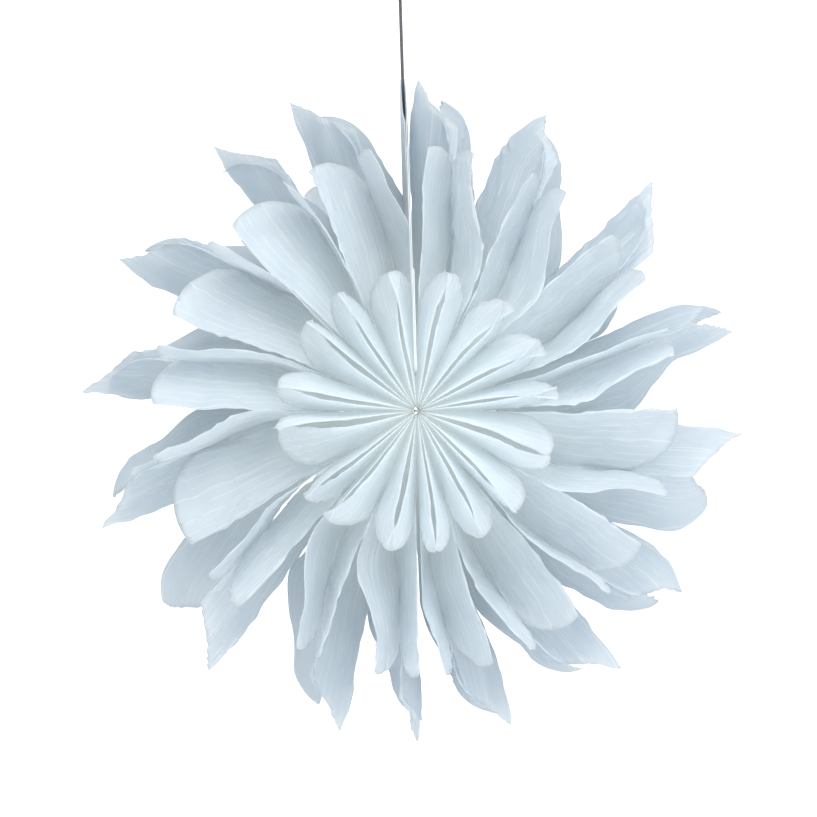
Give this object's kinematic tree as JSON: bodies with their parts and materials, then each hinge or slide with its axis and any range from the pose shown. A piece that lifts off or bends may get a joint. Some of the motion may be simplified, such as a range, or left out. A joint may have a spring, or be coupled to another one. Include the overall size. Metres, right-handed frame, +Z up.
{
  "type": "paper star lantern",
  "caption": "Hanging pleated paper star lantern: die-cut leaves fan round an axis into a full ball of pointed lobes, with a lampholder inside on a straight cord from a ceiling canopy.",
  "frame": {"origin": "middle of the ceiling bracket's upper face, where it meets the ceiling", "axes": "+Z up along the cord, Y along the fan's axis (front is -Y), X to the right seen from the front"},
  "size_m": [0.7962, 0.66, 0.9581],
  "materials": {
    "paper": "matt, translucent",
    "board": "matt",
    "loop_fabric": "looped pile",
    "hook_plastic": "matt",
    "cord_jacket": "satin",
    "zinc_steel": "satin",
    "wire_steel": "satin",
    "white_plastic": "satin",
    "porcelain": "matt",
    "brass": "satin",
    "bulb_glass": "clear",
    "stem_glass": "clear",
    "bulb_cap_metal": "satin",
    "filament": "matt"
  },
  "bodies": {
    "ceiling_end": {"ceiling_bracket": "zinc_steel", "cord_anchor": "white_plastic", "terminal_block": "white_plastic", "cord": "cord_jacket"},
    "canopy": {"canopy_cup": "white_plastic", "canopy_bush": "white_plastic", "canopy_grub_screw": "zinc_steel"},
    "lampholder": {"cord_grip": "white_plastic", "lampholder_cap": "white_plastic", "lampholder_skirt": "white_plastic", "shade_ring": "white_plastic", "holder_insert": "porcelain", "screw_shell": "brass", "centre_contact": "brass", "carrier_wire": "wire_steel"},
    "bulb": {"bulb_glass": "bulb_glass", "bulb_cap": "bulb_cap_metal", "bulb_contact": "bulb_cap_metal", "bulb_stem": "stem_glass", "bulb_filaments": "filament"},
    "right_board": {"end_board_right": "board", "loop_pads": "loop_fabric"},
    "right_leaf_01": {"leaf_right_01": "paper"},
    "right_leaf_02": {"leaf_right_02": "paper"},
    "right_leaf_03": {"leaf_right_03": "paper"},
    "right_leaf_04": {"leaf_right_04": "paper"},
    "right_leaf_05": {"leaf_right_05": "paper"},
    "right_leaf_06": {"leaf_right_06": "paper"},
    "right_leaf_07": {"leaf_right_07": "paper"},
    "right_leaf_08": {"leaf_right_08": "paper"},
    "right_leaf_09": {"leaf_right_09": "paper"},
    "right_leaf_10": {"leaf_right_10": "paper"},
    "right_leaf_11": {"leaf_right_11": "paper"},
    "right_leaf_12": {"leaf_right_12": "paper"},
    "right_leaf_13": {"leaf_right_13": "paper"},
    "right_leaf_14": {"leaf_right_14": "paper"},
    "right_leaf_15": {"leaf_right_15": "paper"},
    "right_leaf_16": {"leaf_right_16": "paper"},
    "left_board": {"end_board_left": "board", "hook_pads": "hook_plastic"},
    "left_leaf_01": {"leaf_left_01": "paper"},
    "left_leaf_02": {"leaf_left_02": "paper"},
    "left_leaf_03": {"leaf_left_03": "paper"},
    "left_leaf_04": {"leaf_left_04": "paper"},
    "left_leaf_05": {"leaf_left_05": "paper"},
    "left_leaf_06": {"leaf_left_06": "paper"},
    "left_leaf_07": {"leaf_left_07": "paper"},
    "left_leaf_08": {"leaf_left_08": "paper"},
    "left_leaf_09": {"leaf_left_09": "paper"},
    "left_leaf_10": {"leaf_left_10": "paper"},
    "left_leaf_11": {"leaf_left_11": "paper"},
    "left_leaf_12": {"leaf_left_12": "paper"},
    "left_leaf_13": {"leaf_left_13": "paper"},
    "left_leaf_14": {"leaf_left_14": "paper"},
    "left_leaf_15": {"leaf_left_15": "paper"},
    "left_leaf_16": {"leaf_left_16": "paper"}
  },
  "joints": [
    {"name": "canopy_slide", "type": "slide", "parent": "ceiling_end", "child": "canopy", "axis": [0, 0, -1], "range_m": [0, 0.06]},
    {"name": "star_spin", "type": "hinge", "parent": "ceiling_end", "child": "lampholder", "pos_m": [0, 0, -0.56], "axis": [0, 0, 1], "range_deg": [-180, 180]},
    {"name": "bulb_turn", "type": "hinge", "parent": "lampholder", "child": "bulb", "pos_m": [0, 0, -0.56], "axis": [0, 0, 1], "range_deg": [0, 1080]},
    {"name": "right_fold", "type": "hinge", "parent": "lampholder", "child": "right_board", "pos_m": [0.0114, 0, -0.56], "axis": [0, 1, 0], "range_deg": [0, 180]},
    {"name": "right_leaf_01_fold", "type": "hinge", "parent": "lampholder", "child": "right_leaf_01", "pos_m": [0.0093, 0, -0.56046], "axis": [0, 1, 0], "range_deg": [0, 174.38]},
    {"name": "right_leaf_02_fold", "type": "hinge", "parent": "lampholder", "child": "right_leaf_02", "pos_m": [0.0087, 0, -0.56129], "axis": [0, 1, 0], "range_deg": [0, 163.12]},
    {"name": "right_leaf_03_fold", "type": "hinge", "parent": "lampholder", "child": "right_leaf_03", "pos_m": [0.0081, 0, -0.56203], "axis": [0, 1, 0], "range_deg": [0, 151.88]},
    {"name": "right_leaf_04_fold", "type": "hinge", "parent": "lampholder", "child": "right_leaf_04", "pos_m": [0.0075, 0, -0.56268], "axis": [0, 1, 0], "range_deg": [0, 140.62]},
    {"name": "right_leaf_05_fold", "type": "hinge", "parent": "lampholder", "child": "right_leaf_05", "pos_m": [0.0069, 0, -0.56326], "axis": [0, 1, 0], "range_deg": [0, 129.38]},
    {"name": "right_leaf_06_fold", "type": "hinge", "parent": "lampholder", "child": "right_leaf_06", "pos_m": [0.0063, 0, -0.56378], "axis": [0, 1, 0], "range_deg": [0, 118.12]},
    {"name": "right_leaf_07_fold", "type": "hinge", "parent": "lampholder", "child": "right_leaf_07", "pos_m": [0.0057, 0, -0.56423], "axis": [0, 1, 0], "range_deg": [0, 106.88]},
    {"name": "right_leaf_08_fold", "type": "hinge", "parent": "lampholder", "child": "right_leaf_08", "pos_m": [0.0051, 0, -0.56462], "axis": [0, 1, 0], "range_deg": [0, 95.62]},
    {"name": "right_leaf_09_fold", "type": "hinge", "parent": "lampholder", "child": "right_leaf_09", "pos_m": [0.0045, 0, -0.56497], "axis": [0, 1, 0], "range_deg": [0, 84.38]},
    {"name": "right_leaf_10_fold", "type": "hinge", "parent": "lampholder", "child": "right_leaf_10", "pos_m": [0.0039, 0, -0.56526], "axis": [0, 1, 0], "range_deg": [0, 73.12]},
    {"name": "right_leaf_11_fold", "type": "hinge", "parent": "lampholder", "child": "right_leaf_11", "pos_m": [0.0033, 0, -0.56551], "axis": [0, 1, 0], "range_deg": [0, 61.88]},
    {"name": "right_leaf_12_fold", "type": "hinge", "parent": "lampholder", "child": "right_leaf_12", "pos_m": [0.0027, 0, -0.56571], "axis": [0, 1, 0], "range_deg": [0, 50.62]},
    {"name": "right_leaf_13_fold", "type": "hinge", "parent": "lampholder", "child": "right_leaf_13", "pos_m": [0.0021, 0, -0.56587], "axis": [0, 1, 0], "range_deg": [0, 39.38]},
    {"name": "right_leaf_14_fold", "type": "hinge", "parent": "lampholder", "child": "right_leaf_14", "pos_m": [0.0015, 0, -0.56599], "axis": [0, 1, 0], "range_deg": [0, 28.12]},
    {"name": "right_leaf_15_fold", "type": "hinge", "parent": "lampholder", "child": "right_leaf_15", "pos_m": [0.0009, 0, -0.56607], "axis": [0, 1, 0], "range_deg": [0, 16.88]},
    {"name": "right_leaf_16_fold", "type": "hinge", "parent": "lampholder", "child": "right_leaf_16", "pos_m": [0.0003, 0, -0.56611], "axis": [0, 1, 0], "range_deg": [0, 5.62]},
    {"name": "left_fold", "type": "hinge", "parent": "lampholder", "child": "left_board", "pos_m": [-0.0114, 0, -0.56], "axis": [0, -1, 0], "range_deg": [0, 180]},
    {"name": "left_leaf_01_fold", "type": "hinge", "parent": "lampholder", "child": "left_leaf_01", "pos_m": [-0.0093, 0, -0.56046], "axis": [0, -1, 0], "range_deg": [0, 174.38]},
    {"name": "left_leaf_02_fold", "type": "hinge", "parent": "lampholder", "child": "left_leaf_02", "pos_m": [-0.0087, 0, -0.56129], "axis": [0, -1, 0], "range_deg": [0, 163.12]},
    {"name": "left_leaf_03_fold", "type": "hinge", "parent": "lampholder", "child": "left_leaf_03", "pos_m": [-0.0081, 0, -0.56203], "axis": [0, -1, 0], "range_deg": [0, 151.88]},
    {"name": "left_leaf_04_fold", "type": "hinge", "parent": "lampholder", "child": "left_leaf_04", "pos_m": [-0.0075, 0, -0.56268], "axis": [0, -1, 0], "range_deg": [0, 140.62]},
    {"name": "left_leaf_05_fold", "type": "hinge", "parent": "lampholder", "child": "left_leaf_05", "pos_m": [-0.0069, 0, -0.56326], "axis": [0, -1, 0], "range_deg": [0, 129.38]},
    {"name": "left_leaf_06_fold", "type": "hinge", "parent": "lampholder", "child": "left_leaf_06", "pos_m": [-0.0063, 0, -0.56378], "axis": [0, -1, 0], "range_deg": [0, 118.12]},
    {"name": "left_leaf_07_fold", "type": "hinge", "parent": "lampholder", "child": "left_leaf_07", "pos_m": [-0.0057, 0, -0.56423], "axis": [0, -1, 0], "range_deg": [0, 106.88]},
    {"name": "left_leaf_08_fold", "type": "hinge", "parent": "lampholder", "child": "left_leaf_08", "pos_m": [-0.0051, 0, -0.56462], "axis": [0, -1, 0], "range_deg": [0, 95.62]},
    {"name": "left_leaf_09_fold", "type": "hinge", "parent": "lampholder", "child": "left_leaf_09", "pos_m": [-0.0045, 0, -0.56497], "axis": [0, -1, 0], "range_deg": [0, 84.38]},
    {"name": "left_leaf_10_fold", "type": "hinge", "parent": "lampholder", "child": "left_leaf_10", "pos_m": [-0.0039, 0, -0.56526], "axis": [0, -1, 0], "range_deg": [0, 73.12]},
    {"name": "left_leaf_11_fold", "type": "hinge", "parent": "lampholder", "child": "left_leaf_11", "pos_m": [-0.0033, 0, -0.56551], "axis": [0, -1, 0], "range_deg": [0, 61.88]},
    {"name": "left_leaf_12_fold", "type": "hinge", "parent": "lampholder", "child": "left_leaf_12", "pos_m": [-0.0027, 0, -0.56571], "axis": [0, -1, 0], "range_deg": [0, 50.62]},
    {"name": "left_leaf_13_fold", "type": "hinge", "parent": "lampholder", "child": "left_leaf_13", "pos_m": [-0.0021, 0, -0.56587], "axis": [0, -1, 0], "range_deg": [0, 39.38]},
    {"name": "left_leaf_14_fold", "type": "hinge", "parent": "lampholder", "child": "left_leaf_14", "pos_m": [-0.0015, 0, -0.56599], "axis": [0, -1, 0], "range_deg": [0, 28.12]},
    {"name": "left_leaf_15_fold", "type": "hinge", "parent": "lampholder", "child": "left_leaf_15", "pos_m": [-0.0009, 0, -0.56607], "axis": [0, -1, 0], "range_deg": [0, 16.88]},
    {"name": "left_leaf_16_fold", "type": "hinge", "parent": "lampholder", "child": "left_leaf_16", "pos_m": [-0.0003, 0, -0.56611], "axis": [0, -1, 0], "range_deg": [0, 5.62]}
  ],
  "couplings": [
    {"joint": "right_leaf_01_fold", "follows": "right_fold", "ratio": 0.96875},
    {"joint": "right_leaf_02_fold", "follows": "right_fold", "ratio": 0.90625},
    {"joint": "right_leaf_03_fold", "follows": "right_fold", "ratio": 0.84375},
    {"joint": "right_leaf_04_fold", "follows": "right_fold", "ratio": 0.78125},
    {"joint": "right_leaf_05_fold", "follows": "right_fold", "ratio": 0.71875},
    {"joint": "right_leaf_06_fold", "follows": "right_fold", "ratio": 0.65625},
    {"joint": "right_leaf_07_fold", "follows": "right_fold", "ratio": 0.59375},
    {"joint": "right_leaf_08_fold", "follows": "right_fold", "ratio": 0.53125},
    {"joint": "right_leaf_09_fold", "follows": "right_fold", "ratio": 0.46875},
    {"joint": "right_leaf_10_fold", "follows": "right_fold", "ratio": 0.40625},
    {"joint": "right_leaf_11_fold", "follows": "right_fold", "ratio": 0.34375},
    {"joint": "right_leaf_12_fold", "follows": "right_fold", "ratio": 0.28125},
    {"joint": "right_leaf_13_fold", "follows": "right_fold", "ratio": 0.21875},
    {"joint": "right_leaf_14_fold", "follows": "right_fold", "ratio": 0.15625},
    {"joint": "right_leaf_15_fold", "follows": "right_fold", "ratio": 0.09375},
    {"joint": "right_leaf_16_fold", "follows": "right_fold", "ratio": 0.03125},
    {"joint": "left_leaf_01_fold", "follows": "left_fold", "ratio": 0.96875},
    {"joint": "left_leaf_02_fold", "follows": "left_fold", "ratio": 0.90625},
    {"joint": "left_leaf_03_fold", "follows": "left_fold", "ratio": 0.84375},
    {"joint": "left_leaf_04_fold", "follows": "left_fold", "ratio": 0.78125},
    {"joint": "left_leaf_05_fold", "follows": "left_fold", "ratio": 0.71875},
    {"joint": "left_leaf_06_fold", "follows": "left_fold", "ratio": 0.65625},
    {"joint": "left_leaf_07_fold", "follows": "left_fold", "ratio": 0.59375},
    {"joint": "left_leaf_08_fold", "follows": "left_fold", "ratio": 0.53125},
    {"joint": "left_leaf_09_fold", "follows": "left_fold", "ratio": 0.46875},
    {"joint": "left_leaf_10_fold", "follows": "left_fold", "ratio": 0.40625},
    {"joint": "left_leaf_11_fold", "follows": "left_fold", "ratio": 0.34375},
    {"joint": "left_leaf_12_fold", "follows": "left_fold", "ratio": 0.28125},
    {"joint": "left_leaf_13_fold", "follows": "left_fold", "ratio": 0.21875},
    {"joint": "left_leaf_14_fold", "follows": "left_fold", "ratio": 0.15625},
    {"joint": "left_leaf_15_fold", "follows": "left_fold", "ratio": 0.09375},
    {"joint": "left_leaf_16_fold", "follows": "left_fold", "ratio": 0.03125}
  ]
}
